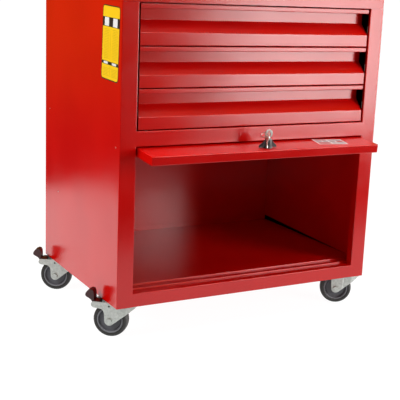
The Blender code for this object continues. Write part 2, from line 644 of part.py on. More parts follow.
def build_casters(body):
    for name, right, rear, angle, brake in CASTERS:
        x = WIDTH - CASTER_INSET_X if right else CASTER_INSET_X
        y = DEPTH - CASTER_INSET_Y if rear else CASTER_INSET_Y
        mount = empty(f"caster_{name}_place", body, (x, y, 0))
        half_x, half_y = PLATE_SIZE[0] / 2, PLATE_SIZE[1] / 2
        shape = block((-half_x, -half_y, PLATE_BOTTOM), (half_x, half_y, CASTER_RECESS))
        add_object(f"caster_plate_{name}", shape, "zinc", mount)
        swivel = empty(f"swivel_{name}_axis", body, (x, y, 0), (0, 0, angle))
        build_fork(f"caster_fork_{name}", swivel, brake)
        head = 4.5 * MM
        reach = FORK_HALF_WIDTH + GAP
        bolt = add_object(
            f"axle_bolt_{name}",
            rod(AXLE_RADIUS, -reach - head, reach + head, 16, "X", (0, CASTER_TRAIL, AXLE_Z)),
            "zinc", swivel, smooth=True,
        )
        for low in (-reach - head, reach):
            combine(bolt, rod(7.5 * MM, low, low + head, 6, "X", (0, CASTER_TRAIL, AXLE_Z)), "UNION")
        build_wheel(name, swivel)
        if brake:
            build_brake_pedal(f"brake_pedal_{name}", swivel)


def whole_box():
    """Lowest and highest corner of everything that is a part of the chest, in cabinet coordinates."""
    bpy.context.view_layer.update()
    graph = bpy.context.evaluated_depsgraph_get()
    corners = []
    for obj in bpy.data.objects:
        if obj.type == "MESH" and not obj.hide_render:
            shape = obj.evaluated_get(graph)
            corners += [shape.matrix_world @ Vector(corner) for corner in shape.bound_box]
    low = Vector([min(c[i] for c in corners) for i in range(3)])
    high = Vector([max(c[i] for c in corners) for i in range(3)])
    return low, high


def main():
    clear_scene()
    chest = empty("chest")
    build_side_panels(chest)
    build_shell(chest)
    build_drawers(chest)
    build_tracks(chest)
    build_door(chest)
    build_casters(chest)
    low, high = whole_box()
    chest.location = (-(low.x + high.x) / 2, -(low.y + high.y) / 2, -low.z)
    bpy.context.view_layer.update()


main()
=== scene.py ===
"""Looks of the rolling tool chest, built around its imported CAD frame.

Shapes are laid out in the cabinet's own coordinates, in millimetres: x from the left side,
y from the front plane, z from the body's bottom edge. CABINET turns them into the frame's metres.
"""

import json
import math

import bmesh
import bpy
from mathutils import Matrix, Vector


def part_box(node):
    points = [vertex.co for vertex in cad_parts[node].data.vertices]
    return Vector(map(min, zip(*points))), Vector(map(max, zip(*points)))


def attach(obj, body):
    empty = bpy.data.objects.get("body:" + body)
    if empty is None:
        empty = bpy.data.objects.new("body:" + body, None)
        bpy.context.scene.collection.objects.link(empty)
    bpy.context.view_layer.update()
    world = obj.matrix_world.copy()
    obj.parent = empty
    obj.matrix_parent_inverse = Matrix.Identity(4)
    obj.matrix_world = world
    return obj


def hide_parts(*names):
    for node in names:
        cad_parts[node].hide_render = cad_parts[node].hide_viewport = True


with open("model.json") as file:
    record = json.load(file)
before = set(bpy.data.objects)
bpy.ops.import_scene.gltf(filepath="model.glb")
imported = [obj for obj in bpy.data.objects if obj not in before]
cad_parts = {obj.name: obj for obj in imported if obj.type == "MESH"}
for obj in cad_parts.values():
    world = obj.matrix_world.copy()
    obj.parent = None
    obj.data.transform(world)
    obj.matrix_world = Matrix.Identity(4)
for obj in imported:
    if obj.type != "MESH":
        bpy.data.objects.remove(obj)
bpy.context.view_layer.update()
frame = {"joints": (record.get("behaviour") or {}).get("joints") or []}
joints = {joint["name"]: joint for joint in frame["joints"]}
SCENE = bpy.context.scene

# ---------------------------------------------------------------- sizes, all in millimetres

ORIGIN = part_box("side_panel_left")[0]
CABINET = Matrix.Translation(ORIGIN) @ Matrix.Scale(0.001, 4)


def cad(node):
    """Lowest and highest corner of a CAD node in cabinet coordinates."""
    return [(corner - ORIGIN) * 1000 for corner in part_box(node)]


WIDTH, DEPTH, BODY_HEIGHT = cad("top_cap")[1]
CAP_BOTTOM = cad("top_cap")[0].z
SHEET = 1.0
BEND = 1.8  # outer radius of a bend
GAP = 0.3
POST = cad("bottom_rail")[0].x - GAP
POST_RETURN = 20
REAR_FLANGE = 15
SILL_TOP = cad("bottom_rail")[1].z
SILL_DEPTH = cad("bottom_rail")[1].y
CROSS_LOW, CROSS_HIGH = cad("cross_rail")[0].z, cad("cross_rail")[1].z
FLOOR_TOP = SILL_TOP + 7
BACK = cad("back_panel")[0].y

# ---------------------------------------------------------------- materials


def place_node(tree, kind, settings=None, **inputs):
    node = tree.nodes.new(kind)
    for name, value in (settings or {}).items():
        setattr(node, name, value)
    for name, value in inputs.items():
        socket = node.inputs[int(name[1:]) if name[1:].isdigit() else name.replace("_", " ")]
        if isinstance(value, bpy.types.NodeSocket):
            tree.links.new(value, socket)
        else:
            socket.default_value = value
    return node


def noise(tree, where, scale, detail=2.0, roughness=0.5, stretch=None):
    if stretch:
        where = place_node(tree, "ShaderNodeMapping", Vector=where, Scale=stretch).outputs[0]
    node = place_node(
        tree, "ShaderNodeTexNoise", Vector=where, Scale=scale, Detail=detail, Roughness=roughness
    )
    return node.outputs["Fac"]


def ramp(tree, factor, low, high, start, end):
    """Numbers or colours from start to end as factor goes from low to high."""
    node = place_node(tree, "ShaderNodeMapRange", Value=factor)
    node.inputs["From Min"].default_value, node.inputs["From Max"].default_value = low, high
    node.inputs["To Min"].default_value, node.inputs["To Max"].default_value = start, end
    return node.outputs[0]


def blend_colours(tree, factor, first, second):
    node = tree.nodes.new("ShaderNodeMix")
    node.data_type = "RGBA"
    for socket, value in (
        (node.inputs[0], factor), (node.inputs[6], first), (node.inputs[7], second)
    ):
        if isinstance(value, bpy.types.NodeSocket):
            tree.links.new(value, socket)
        else:
            socket.default_value = value
    return node.outputs[2]


def bump(tree, height, distance, under=None):
    inputs = {"Height": height, "Distance": distance, "Strength": 1.0}
    if under:
        inputs["Normal"] = under
    return place_node(tree, "ShaderNodeBump", **inputs).outputs[0]


def new_material(name, roughness=0.4, metallic=0.0, ior=1.5):
    material = bpy.data.materials.new(name)
    material.use_nodes = True
    tree = material.node_tree
    shader = tree.nodes["Principled BSDF"]
    shader.inputs["Roughness"].default_value = roughness
    shader.inputs["Metallic"].default_value = metallic
    shader.inputs["IOR"].default_value = ior
    where = tree.nodes.new("ShaderNodeTexCoord").outputs["Object"]
    return material, tree, shader, where


def connect(tree, shader, **sockets):
    for name, value in sockets.items():
        tree.links.new(value, shader.inputs[name.replace("_", " ")])


def powder_coat():
    """Satin red powder coat: orange peel, faint flecks and the smears of handling."""
    material, tree, shader, where = new_material("red_powder_coat", ior=1.52)
    peel = noise(tree, where, 430, 1.5, 0.45)
    swell = noise(tree, where, 7, 1.0)
    fleck = ramp(tree, noise(tree, where, 620, 2.0, 0.6), 0.56, 0.75, 0.0, 0.35)
    smear = noise(tree, where, 11, 3.0, 0.55, stretch=(1.0, 1.0, 2.0))
    mottle = ramp(tree, swell, 0.35, 0.65, 0, 1)
    red = blend_colours(tree, mottle, (0.56, 0.0012, 0.0006, 1), (0.61, 0.0022, 0.001, 1))
    colour = blend_colours(tree, fleck, red, (0.68, 0.009, 0.006, 1))
    rough = ramp(tree, smear, 0.4, 0.65, 0.16, 0.205)
    normal = bump(tree, peel, 0.00015, under=bump(tree, swell, 0.0005))
    connect(tree, shader, Base_Color=colour, Roughness=rough, Normal=normal)
    return material


def plated(name, base, bright, roughness, metallic, grain=180.0):
    """Plated sheet: faint spangle, rolling lines and light dulling."""
    material, tree, shader, where = new_material(name, metallic=metallic)
    spangle = noise(tree, where, grain, 3.0, 0.6)
    streak = noise(tree, where, 60, 3.0, 0.6, stretch=(1.0, 1.0, 9.0))
    mixed = ramp(tree, spangle, 0.35, 0.65, 0.0, 1.0)
    colour = blend_colours(tree, mixed, (*base, 1), (*bright, 1))
    rough = ramp(tree, streak, 0.3, 0.7, roughness - 0.06, roughness + 0.08)
    connect(tree, shader, Base_Color=colour, Roughness=rough, Normal=bump(tree, spangle, 0.00005))
    return material


def moulded(name, base, roughness, grain=900.0, depth=0.00006, shade=0.12):
    """Moulded plastic or rubber: fine surface texture and slightly uneven tone."""
    material, tree, shader, where = new_material(name, roughness)
    fine = noise(tree, where, grain, 2.0)
    broad = noise(tree, where, 45, 3.0)
    darker = tuple(c * (1 - shade) for c in base)
    lighter = tuple(min(1.0, c * (1 + shade)) for c in base)
    colour = blend_colours(tree, ramp(tree, broad, 0.3, 0.7, 0, 1), (*darker, 1), (*lighter, 1))
    rough = ramp(tree, broad, 0.3, 0.7, roughness - 0.05, roughness + 0.07)
    connect(tree, shader, Base_Color=colour, Roughness=rough, Normal=bump(tree, fine, depth))
    return material


def printed(name, base):
    """Printed film, hardly uneven."""
    return moulded(name, base, 0.38, grain=300.0, depth=0.00001, shade=0.03)


RED = powder_coat()
ZINC = plated("zinc_plate", (0.47, 0.50, 0.475), (0.60, 0.63, 0.60), 0.46, 0.55)
NICKEL = plated("nickel_plate", (0.62, 0.60, 0.55), (0.74, 0.72, 0.67), 0.28, 0.9, grain=260)
BLACK = moulded("black_plastic", (0.018, 0.018, 0.02), 0.34)
NYLON = moulded("white_nylon", (0.72, 0.72, 0.68), 0.5)
HUB_GREY = moulded("grey_plastic", (0.085, 0.085, 0.098), 0.42)
HUB_RIM = moulded("grey_plastic_rim", (0.17, 0.17, 0.185), 0.38)
RUBBER = moulded("tyre_rubber", (0.024, 0.024, 0.023), 0.58, grain=700, depth=0.00009)
PEDAL = moulded("brake_plastic", (0.040, 0.008, 0.009), 0.32)
YELLOW = printed("label_yellow", (0.93, 0.58, 0.01))
INK = printed("label_ink", (0.018, 0.016, 0.015))
PAPER = printed("label_white", (0.80, 0.79, 0.77))
SOFT_INK = printed("label_grey", (0.52, 0.33, 0.01))
STICKER_GREY = printed("sticker_grey", (0.36, 0.35, 0.35))
STICKER_RED = printed("sticker_red", (0.42, 0.05, 0.05))

# ---------------------------------------------------------------- shapes


def perpendicular(v):
    return Vector((-v.y, v.x))


def bent(points, sheet=SHEET, radius=BEND, inset=0.0, corner=0.3, steps=5):
    """Outline of a sheet lying on the left of a line, with round bends and its edges eased, pulled
    in by inset.
    """
    line = [Vector(p) for p in points]
    ways = [(b - a).normalized() for a, b in zip(line, line[1:])]
    deep = sheet - inset

    def end(point, way, left):
        return (
            [
                point + way * inset + left * (inset + corner),
                point + way * (inset + corner) + left * inset
            ],
            [
                point + way * inset + left * (deep - corner),
                point + way * (inset + corner) + left * deep
            ],
        )

    near, far = end(line[0], ways[0], perpendicular(ways[0]))
    for point, before, after in zip(line[1:], ways, ways[1:]):
        turn = math.atan2(before.x * after.y - before.y * after.x, before.dot(after))
        side = 1 if turn > 0 else -1
        reach = radius if turn > 0 else max(radius - sheet, 0.25)
        left = perpendicular(before)
        centre = point - before * (reach * math.tan(abs(turn) / 2)) + left * (side * reach)
        for step in range(steps + 1):
            spoke = (left * -side).copy()
            spoke.rotate(Matrix.Rotation(turn * step / steps, 2))
            near.append(centre + spoke * (reach - side * inset))
            far.append(centre + spoke * (reach - side * deep))
    last_near, last_far = end(line[-1], -ways[-1], perpendicular(ways[-1]))
    return near + last_near[::-1] + last_far + far[::-1]


def loft(rings):
    """Faces between rings of points of equal count, with both ends capped."""
    shape = bmesh.new()
    rows = [[shape.verts.new(p) for p in ring] for ring in rings]
    for ring, following in zip(rows, rows[1:]):
        for i in range(len(ring)):
            j = (i + 1) % len(ring)
            shape.faces.new((ring[i], ring[j], following[j], following[i]))
    shape.faces.new(rows[0])
    shape.faces.new(rows[-1])
    return shape


PLACE = {
    "X": lambda a, b, c: (c, a, b),
    "Y": lambda a, b, c: (a, c, b),
    "Z": lambda a, b, c: (a, b, c),
}


def eased(outline_at, axis, low, high, ease=0.25):
    """Extrudes outline_at(inset) along an axis, with rounded end edges."""
    steps = ((0.0, 1.0), (0.3, 0.3), (1.0, 0.0)) if ease else ((0.0, 0.0),)
    levels = [(low + ease * along, ease * pull) for along, pull in steps]
    levels += [(high - ease * along, ease * pull) for along, pull in steps[::-1]]
    return loft([[PLACE[axis](*p, level) for p in outline_at(pull)] for level, pull in levels])


def sheet_part(points, axis, low, high, radius=BEND, sheet=SHEET, ease=0.25):
    return eased(lambda inset: bent(points, sheet, radius, inset), axis, low, high, ease)


def rounded_outline(points, radius, steps=5):
    """A closed outline with every corner rounded; radius is one number or one for each corner."""
    radii = radius if isinstance(radius, (list, tuple)) else [radius] * len(points)
    line = [Vector(p) for p in points]
    out = []
    for i, point in enumerate(line):
        before = (point - line[i - 1]).normalized()
        after = (line[(i + 1) % len(line)] - point).normalized()
        turn = math.atan2(before.x * after.y - before.y * after.x, before.dot(after))
        if radii[i] < 0.01 or abs(turn) < 0.02:
            out.append(point)
            continue
        side = 1 if turn > 0 else -1
        left = perpendicular(before)
        centre = point - before * (radii[i] * math.tan(abs(turn) / 2)) + left * (side * radii[i])
        for step in range(steps + 1):
            spoke = (left * -side).copy()
            spoke.rotate(Matrix.Rotation(turn * step / steps, 2))
            out.append(centre + spoke * radii[i])
    return out


def circle_points(centre, radius, start, end, steps):
    return [
        (
            centre[0] + radius * math.cos(math.radians(start + (end - start) * i / steps)),
            centre[1] + radius * math.sin(math.radians(start + (end - start) * i / steps)),
        )
        for i in range(steps + 1)
    ]


def shrunk(outline, amount):
    """The closed outline, counter-clockwise, moved inwards."""
    out = []
    for i, point in enumerate(outline):
        before = (point - outline[i - 1]).normalized()
        after = (outline[(i + 1) % len(outline)] - point).normalized()
        left = perpendicular(before) + perpendicular(after)
        out.append(point + left * (amount / max(1 + before.dot(after), 0.5)))
    return out


def plate(points, axis, low, high, radius=1.0, ease=0.3, steps=5):
    """A flat plate of a rounded outline, with eased edges."""
    outline = rounded_outline(points, radius, steps)
    area = sum(a.x * b.y - a.y * b.x for a, b in zip(outline, outline[1:] + outline[:1]))
    outline = outline if area > 0 else outline[::-1]
    return eased(lambda inset: [tuple(p) for p in shrunk(outline, inset)], axis, low, high, ease)


def ring_at(low, high, inset, radius, steps=4):
    """A rounded rectangle in plan, as points."""
    x0, y0, x1, y1 = low[0] + inset, low[1] + inset, high[0] - inset, high[1] - inset
    out = []
    for cx, cy, start in (
        (x1 - radius, y1 - radius, 0), (x0 + radius, y1 - radius, 90),
        (x0 + radius, y0 + radius, 180), (x1 - radius, y0 + radius, 270),
    ):
        for i in range(steps + 1):
            a = math.radians(start + 90 * i / steps)
            out.append((cx + radius * math.cos(a), cy + radius * math.sin(a)))
    return out


def pan(low, high, path, corner, radius=BEND, sheet=SHEET):
    """A folded pan: path is the section from its floor outwards, as (inset, z), with its sheet on
    the left.
    """
    section = bent(path, sheet, radius, corner=0.0)
    half = len(section) // 2
    section = section[1:half] + [section[half]] + section[half:-1]
    rings = [
        [(x, y, z) for x, y in ring_at(low, high, inset, corner(inset))] for inset, z in section
    ]
    return loft(rings)


def lathe(profile, steps=40, axis="Z", closed=True):
    """Spins (radius, height) points about an axis through the origin.

    An open profile is capped at both ends.
    """
    rings = []
    for i in range(steps):
        a = 2 * math.pi * i / steps
        c, s = math.cos(a), math.sin(a)
        turned = {"Z": lambda r, h: (r * c, r * s, h), "X": lambda r, h: (h, r * c, r * s)}[axis]
        rings.append([turned(r, h) for r, h in profile])
    shape = bmesh.new()
    rows = [[shape.verts.new(p) for p in ring] for ring in rings]
    count = len(profile)
    spans = count if closed else count - 1
    for i in range(steps):
        row, following = rows[i], rows[(i + 1) % steps]
        for k in range(spans):
            m = (k + 1) % count
            shape.faces.new((row[k], following[k], following[m], row[m]))
    if not closed:
        shape.faces.new([row[0] for row in rows])
        shape.faces.new([row[-1] for row in rows])
    bmesh.ops.remove_doubles(shape, verts=shape.verts, dist=1e-5)
    return shape


def bar(radius, low, high, axis="X", centre=(0, 0, 0), ease=0.4, steps=32):
    profile = [(radius - ease, low), (radius - ease * 0.3, low + ease * 0.3), (radius, low + ease)]
    profile += [
        (radius, high - ease), (radius - ease * 0.3, high - ease * 0.3), (radius - ease, high)
    ]
    shape = lathe(profile, steps, "X" if axis == "X" else "Z", closed=False)
    if axis == "Y":
        bmesh.ops.rotate(
            shape, verts=shape.verts, cent=(0, 0, 0), matrix=Matrix.Rotation(-math.pi / 2, 3, "X")
        )
    bmesh.ops.translate(shape, verts=shape.verts, vec=centre)
    return shape


def hexagon(across, low, high, axis="X", centre=(0, 0, 0), turn=0.0, ease=0.5):
    """A hexagonal head with its outer corners turned down."""
    r = across / math.sqrt(3)
    points = [
        (r * math.cos(math.radians(60 * i) + turn), r * math.sin(math.radians(60 * i) + turn))
        for i in range(6)
    ]
    shape = plate(points, axis, low, high, radius=0.4, ease=ease, steps=2)
    bmesh.ops.translate(shape, verts=shape.verts, vec=centre)
    return shape


def torus(radius, wire, steps=48, sides=12):
    profile = [
        (
            radius + wire * math.cos(2 * math.pi * i / sides),
            wire * math.sin(2 * math.pi * i / sides)
        )
        for i in range(sides)
    ]
    return lathe(profile, steps, "Z")


def joined(*shapes):
    """Several closed shapes as one mesh."""
    whole = bmesh.new()
    for shape in shapes:
        mesh = bpy.data.meshes.new("part")
        shape.to_mesh(mesh)
        shape.free()
        whole.from_mesh(mesh)
        bpy.data.meshes.remove(mesh)
    return whole


def moved(shape, matrix):
    bmesh.ops.transform(shape, verts=shape.verts, matrix=matrix)
    return shape


def piece(name, shape, material, body, node=None, matrix=CABINET, smooth=50, extra=()):
    """A finished piece in the frame's metres, riding on its body.

    node is the CAD node it stands for.
    """
    bmesh.ops.recalc_face_normals(shape, faces=shape.faces)
    shape.transform(matrix)
    mesh = bpy.data.meshes.new(name)
    shape.to_mesh(mesh)
    shape.free()
    mesh.materials.append(material)
    for other in extra:
        mesh.materials.append(other)
    mesh.shade_smooth()
    mesh.set_sharp_from_angle(angle=math.radians(smooth))
    obj = bpy.data.objects.new(name, mesh)
    SCENE.collection.objects.link(obj)
    weighted = obj.modifiers.new("weighted", "WEIGHTED_NORMAL")
    weighted.keep_sharp = True
    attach(obj, body)
    if node:
        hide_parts(*([node] if isinstance(node, str) else node))
    return obj


def cut(shape, *tools, operation="DIFFERENCE"):
    """Applies Booleans to a shape and returns the result as a new shape."""
    target = bpy.data.objects.new("target", bpy.data.meshes.new("target"))
    shape.to_mesh(target.data)
    shape.free()
    SCENE.collection.objects.link(target)
    helpers = []
    for tool in tools:
        helper = bpy.data.objects.new("tool", bpy.data.meshes.new("tool"))
        bmesh.ops.recalc_face_normals(tool, faces=tool.faces)
        tool.to_mesh(helper.data)
        tool.free()
        SCENE.collection.objects.link(helper)
        modifier = target.modifiers.new("cut", "BOOLEAN")
        modifier.operation = operation
        modifier.object = helper
        helpers.append(helper)
    graph = bpy.context.evaluated_depsgraph_get()
    result = bmesh.new()
    result.from_mesh(target.evaluated_get(graph).to_mesh())
    for obj in [target, *helpers]:
        mesh = obj.data
        bpy.data.objects.remove(obj)
        bpy.data.meshes.remove(mesh)
    bmesh.ops.remove_doubles(result, verts=result.verts, dist=1e-4)
    return result


def block(low, high):
    return loft([
        [(low[0], low[1], z), (high[0], low[1], z), (high[0], high[1], z), (low[0], high[1], z)]
        for z in (low[2], high[2])
    ])


def bevelled(shape, width, angle=40, segments=2):
    """Rounds the edges of a shape that are sharper than an angle."""
    sharp = [
        e for e in shape.edges if len(e.link_faces) == 2
        and e.calc_face_angle(0) > math.radians(angle)
    ]
    bmesh.ops.bevel(
        shape, geom=sharp, offset=width, offset_type="OFFSET", segments=segments, profile=0.5,
        affect="EDGES",
        clamp_overlap=True,
    )
    return shape


def mirror_x(points):
    return [(WIDTH - x, y) for x, y in points][::-1]


# ---------------------------------------------------------------- cabinet


def build_sides():
    plan = [(REAR_FLANGE, DEPTH), (0, DEPTH), (0, 0), (POST, 0), (POST, POST_RETURN)]
    closed_z, closed_y = 349.4, 12.0  # hinge rod of the closed door
    for side, points, flange in (("left", plan, POST), ("right", mirror_x(plan), WIDTH - POST)):
        shape = sheet_part(points, "Z", 0, CAP_BOTTOM - GAP)
        notch = block(
            (flange - 1.5, closed_y - 4.5, closed_z - 5.5),
            (flange + 1.5, POST_RETURN + SHEET, closed_z + 6.5)
        )
        piece(f"side_panel_{side}_sheet", cut(shape, notch), RED, "cabinet", f"side_panel_{side}")


def build_rails():
    sill = [(SILL_DEPTH, SILL_TOP), (0, SILL_TOP), (0, 0), (POST_RETURN, 0)]
    left, right = POST - BEND, WIDTH - POST + BEND
    rail = sheet_part(sill, "X", left, right, radius=1.4, ease=0)
    strike = block(
        (WIDTH / 2 - 8, 21.3, SILL_TOP - 2), (WIDTH / 2 + 8, SILL_DEPTH + 1, SILL_TOP + 1)
    )
    piece("bottom_rail_sheet", cut(rail, strike), RED, "cabinet", "bottom_rail")
    cross = [(POST_RETURN, CROSS_HIGH), (0, CROSS_HIGH), (0, CROSS_LOW), (POST_RETURN, CROSS_LOW)]
    piece(
        "cross_rail_sheet", sheet_part(cross, "X", left, right, radius=1.4, ease=0), RED, "cabinet",
        "cross_rail"
    )


def build_inside():
    left, right = cad("shelf_floor")[0].x, cad("shelf_floor")[1].x
    riser = SILL_DEPTH + GAP
    back = cad("shelf_floor")[1].y
    floor = [
        (riser, SILL_TOP - 4), (riser, FLOOR_TOP - 3.5), (riser + 20, FLOOR_TOP - 3.5),
        (riser + 20, FLOOR_TOP),
        (back - SHEET, FLOOR_TOP), (back - SHEET, FLOOR_TOP + 12),
    ]
    piece(
        "shelf_floor_sheet", sheet_part(floor[::-1], "X", left, right, radius=1.3), RED, "cabinet",
        "shelf_floor"
    )
    low, high = cad("divider_panel")
    divider = [(high.y, low.z), (high.y, CROSS_HIGH), (low.y, CROSS_HIGH)]
    piece(
        "divider_panel_sheet", sheet_part(divider, "X", left, right), RED, "cabinet",
        "divider_panel"
    )
    low, high = cad("base_pan")
    base = [(low.y, low.z), (high.y, low.z), (high.y, high.z)]
    piece(
        "base_pan_sheet", sheet_part(base, "X", left, right, sheet=1.5, radius=2.5), RED, "cabinet",
        "base_pan"
    )
    low, high = cad("back_panel")
    panel = sheet_part([(high.x, high.y), (low.x, high.y)], "Z", low.z, high.z)
    piece("back_panel_sheet", panel, RED, "cabinet", "back_panel")


def build_cap():
    floor = BODY_HEIGHT - 12
    path = [(60, floor), (18, floor), (18, BODY_HEIGHT), (0, BODY_HEIGHT), (0, CAP_BOTTOM)]
    shape = pan((0, 0), (WIDTH, DEPTH), path, lambda inset: 3 + 0.3 * min(inset, 18))
    piece("top_cap_sheet", shape, RED, "cabinet", "top_cap")


def build_drawers():
    for number in (1, 2, 3):
        body = f"drawer_{number}"
        low, high = cad(f"{body}_front")
        face, back, bottom, top = low.y, high.y - SHEET, low.z, high.z
        ledge = bottom + 27
        line = [
            (back, top), (face, top), (face, top - 10), (back, top - 10), (back, ledge + 26),
            (face, ledge), (face, bottom), (back, bottom),
        ]
        piece(
            f"{body}_front_sheet", sheet_part(line, "X", low.x, high.x, radius=1.5, ease=0.4), RED,
            body,
            f"{body}_front",
        )
        low, high = cad(f"{body}_tray")
        path = [(50, low.z + SHEET), (SHEET, low.z + SHEET), (SHEET, high.z)]
        shape = pan((low.x, low.y), (high.x, high.y), path, lambda inset: 3 - 0.9 * min(inset, 1))
        piece(f"{body}_tray_sheet", shape, RED, body, f"{body}_tray")
        for side in ("left", "right"):
            for member, rides in (("outer", "cabinet"), ("inner", body)):
                node = f"{body}_slide_{member}_{side}"
                low, high = cad(node)
                start = cad(f"{body}_slide_inner_{side}")[0].y
                opens_right = (side == "left") == (member == "outer")
                web, tip = (low.x, high.x) if opens_right else (high.x, low.x)
                line = [(tip, high.z), (web, high.z), (web, low.z), (tip, low.z)]
                points = line if opens_right else line[::-1]
                channel = sheet_part(points, "Y", start, high.y, radius=2.4, sheet=1.5)
                parts = [channel]
                if member == "outer":
                    inner = web + (1.5 if side == "left" else -1.5)
                    middle = (low.z + high.z) / 2
                    parts.append(
                        block(
                            (min(web, inner), low.y, middle - 8),
                            (max(web, inner), start + 1, middle + 8)
                        )
                    )
                piece(f"{node}_channel", joined(*parts), ZINC, rides, node)


def build_tracks():
    outside = 8 + GAP + 1.2
    for side in ("left", "right"):
        low, high = cad(f"door_track_{side}")
        web, tip = (low.x, high.x) if side == "left" else (high.x, low.x)
        line = [(tip, outside), (web, outside), (web, -outside), (tip, -outside)]
        points = line if side == "left" else line[::-1]
        shape = sheet_part(points, "Y", -DOOR_TRAVEL - 9, 38, radius=2.2, sheet=1.2)
        piece(
            f"door_track_{side}_channel", shape, ZINC, "cabinet", f"door_track_{side}", matrix=DOOR
        )


# ---------------------------------------------------------------- door, lock and keys

swing = joints["door_swing"]
slide = joints["door_slide"]
DOOR_TILT = math.atan2(-slide["axis"][2], -slide["axis"][1])
DOOR_TRAVEL = slide["range_m"][1] * 1000
HINGE = (Vector(swing["pos_m"]) - ORIGIN) * 1000
DOOR = CABINET @ Matrix.Translation((0, HINGE.y, HINGE.z)) @ Matrix.Rotation(DOOR_TILT, 4, "X")
DOOR_LEFT = cad("door_panel")[0].x
DOOR_HALF = 10.0
DOOR_FRONT = -316.0
DOOR_REAR = 5.5
LOCK = DOOR @ Matrix.Translation((WIDTH / 2, DOOR_FRONT + 24, DOOR_HALF))


def build_door():
    path = [(60, DOOR_HALF), (0, DOOR_HALF), (0, -DOOR_HALF), (7, -DOOR_HALF)]
    shape = pan(
        (DOOR_LEFT, DOOR_FRONT), (WIDTH - DOOR_LEFT, DOOR_REAR), path,
        lambda inset: max(2.2 - inset, 0.8),
        radius=1.5,
    )
    piece("door_panel_sheet", shape, RED, "door", "door_panel", matrix=DOOR)
    low, high = cad("door_hinge_rod")
    rod = bar(3.5, low.x, high.x)
    clips = [bar(5.0, x - 0.5, x + 0.5, ease=0.1) for x in (low.x + 3, high.x - 3)]
    piece(
        "door_hinge_rod_bar", joined(rod, *clips), ZINC, "door_carriage", "door_hinge_rod",
        matrix=DOOR
    )
    for side in ("left", "right"):
        low, high = cad(f"door_roller_{side}")
        profile = [
            (3.65, low.x), (7.2, low.x), (8, low.x + 0.8), (8, high.x - 0.8), (7.2, high.x),
            (3.65, high.x),
        ]
        piece(
            f"door_roller_{side}_wheel", lathe(profile, 32, "X"), NYLON, "door_carriage",
            f"door_roller_{side}",
            matrix=DOOR,
        )


def build_sticker():
    """A blank paper sticker with a few printed blocks, near the right end of the door."""
    base = 0.12
    turn = Matrix.Translation((528, DOOR_FRONT + 45, DOOR_HALF)) @ Matrix.Rotation(
        math.radians(-9), 4, "Z"
    )
    shapes = []

    def patch(x0, y0, x1, y1, level, radius=0.6):
        points = [(x0, y0), (x1, y0), (x1, y1), (x0, y1)]
        shapes.append(
            (
                plate(
                    points, "Z", base * level - base * 0.5, base * (level + 1), radius, ease=0.02
                ), level
            )
        )

    patch(-38, -22, 38, 22, 0, 2)
    for k, (x0, y0, x1, y1) in enumerate((
        (-35, 12, -4, 19), (-35, -2, -20, 9), (-17, -2, -4, 9), (-35, -19, -4, -6),
        (0, 10, 34, 19), (0, -4, 14, 7), (18, -4, 34, 7), (0, -19, 34, -8),
    )):
        patch(x0, y0, x1, y1, 1 if k % 3 else 2)
    whole = bmesh.new()
    for shape, index in shapes:
        for f in shape.faces:
            f.material_index = index
        mesh = bpy.data.meshes.new("part")
        shape.to_mesh(mesh)
        shape.free()
        whole.from_mesh(mesh)
    piece(
        "door_sticker", moved(whole, turn), PAPER, "door", matrix=DOOR,
        extra=(STICKER_GREY, STICKER_RED)
    )


def build_lock():
    height, span = 21.5, 23.0
    profile = [
        (0, -20), (4, -20), (4, -12), (7, -12), (7, 0.4), (10.6, 0.4), (11.0, 0.9), (11.0, 2.2),
        (10.4, 3.4),
        (9.6, 6), (8.9, 9.5), (8.4, 13.5), (8.0, 17.5), (7.6, 20), (6.8, 21.2), (5.8, height),
        (0, height),
    ]
    knob = lathe(profile, 40, "Z", closed=False)
    wing = [
        (-span, 1.5), (span, 1.5), (span * 0.96, 6), (span * 0.62, 12), (7, 20.2), (-7, 20.2),
        (-span * 0.62, 12),
        (-span * 0.96, 6),
    ]
    wings = plate(wing, "Y", -2.4, 2.4, radius=[0.8, 0.8, 2, 4, 2, 2, 4, 2], ease=0.7)
    knob = cut(knob, wings, operation="UNION")
    slot = block((-4.4, -1.3, height - 8), (4.4, 1.3, height + 1))
    ribs = [
        moved(bar(1.1, 4, 25, "Z", (9.4, 0, 0), steps=10), Matrix.Rotation(math.radians(a), 4, "Z"))
        for a in (40, 65, 90, 115, 140, 220, 245, 270, 295, 320)
    ]
    knob = cut(knob, slot, *ribs)
    piece("lock_knob_body", knob, BLACK, "lock", "lock_knob", matrix=LOCK, smooth=35)

    cam = plate([(-6, -6), (30, -6), (30, 6), (-6, 6)], "Z", -22.3, -20.3, radius=[5.9, 3, 3, 5.9])
    piece("lock_cam_bar", cam, ZINC, "lock", "lock_cam", matrix=LOCK)
    build_keys(height)


def key_outline(bow, radius, blade, tip, shoulder, teeth=()):
    """Outline of a key, bow up: (across, up), with its teeth on the first side."""
    neck = math.degrees(math.acos(blade * 1.35 / radius))
    points = [(blade, shoulder)] + circle_points(bow, radius, -neck, 180 + neck, 26) + [
        (-blade, shoulder)
    ]
    points += [(-blade + depth, z) for z, depth in teeth]
    return points + [
        (-blade, tip + blade * 0.5), (-blade * 0.4, tip), (blade * 0.4, tip),
        (blade, tip + blade * 0.5)
    ]


